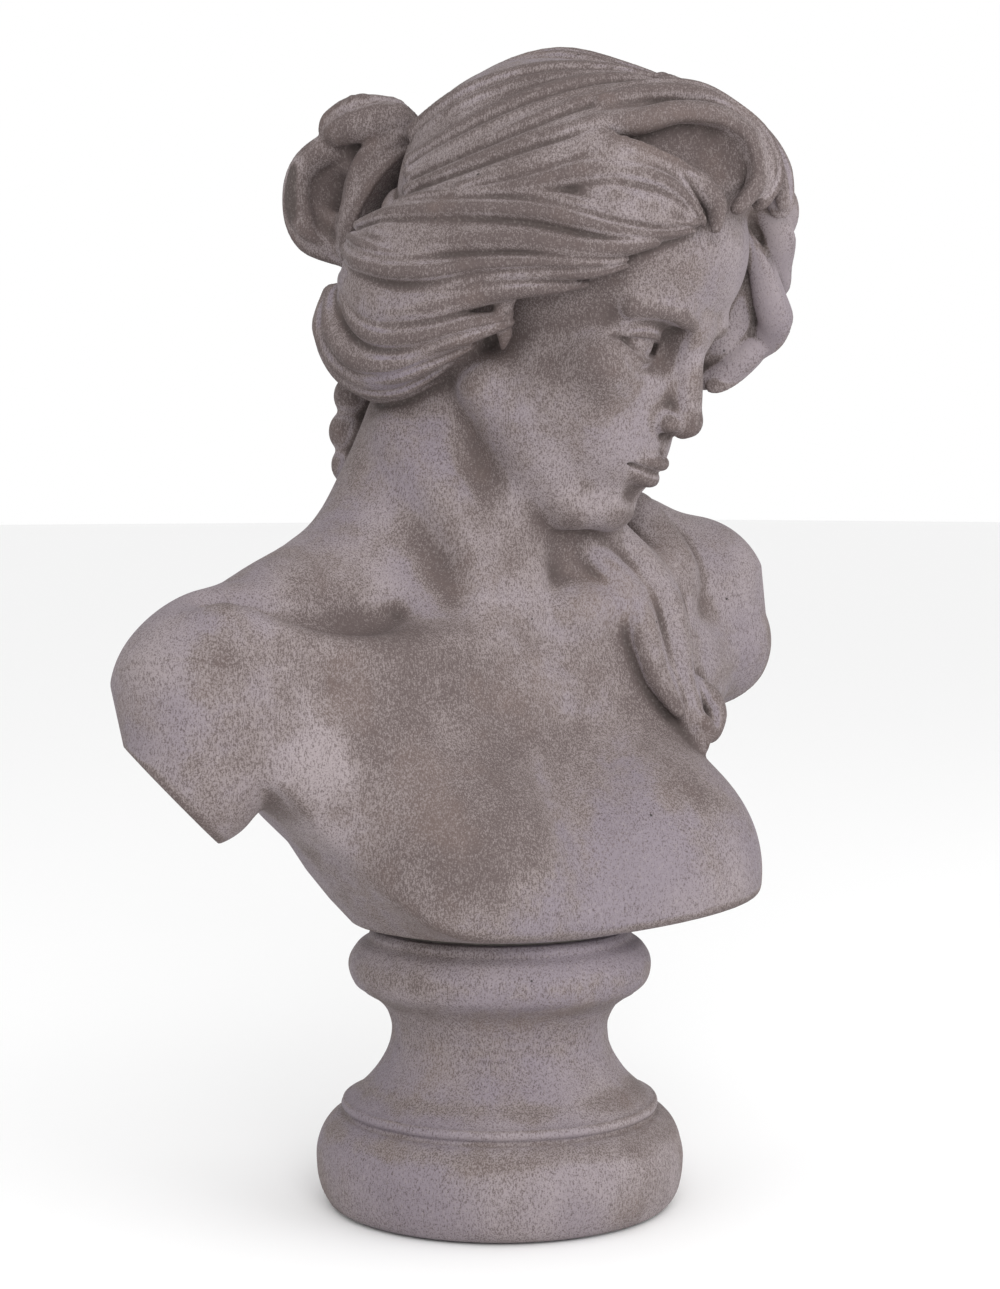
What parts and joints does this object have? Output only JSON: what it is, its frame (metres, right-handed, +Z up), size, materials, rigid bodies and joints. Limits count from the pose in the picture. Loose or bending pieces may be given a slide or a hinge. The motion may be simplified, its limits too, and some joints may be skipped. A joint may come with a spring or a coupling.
{
  "type": "portrait bust on a turned socle",
  "caption": "Classical bust of a woman with upswept hair and bare cut shoulders, in aged grey stone, on a round turned socle.",
  "frame": {"origin": "on the socle's axis, in the plane that the object stands on", "axes": "+Z up along the socle's axis; the chest faces -Y; +X is the figure's own left"},
  "size_m": [0.4001, 0.2659, 0.5727],
  "materials": {
    "stone": "matt grey marble composite with a brown wash in the recesses",
    "mortar": "matt setting mortar",
    "steel": "plain stainless",
    "felt": "dark felt"
  },
  "bodies": {
    "root": {"base_cover": "felt", "hex_nut": "steel", "washer": "steel", "socle": "stone", "setting_bed": "mortar", "centre_rod": "steel", "rod_grout": "mortar", "bust": "stone", "hair_knot_pin": "steel", "hair_knot": "stone"}
  },
  "joints": []
}
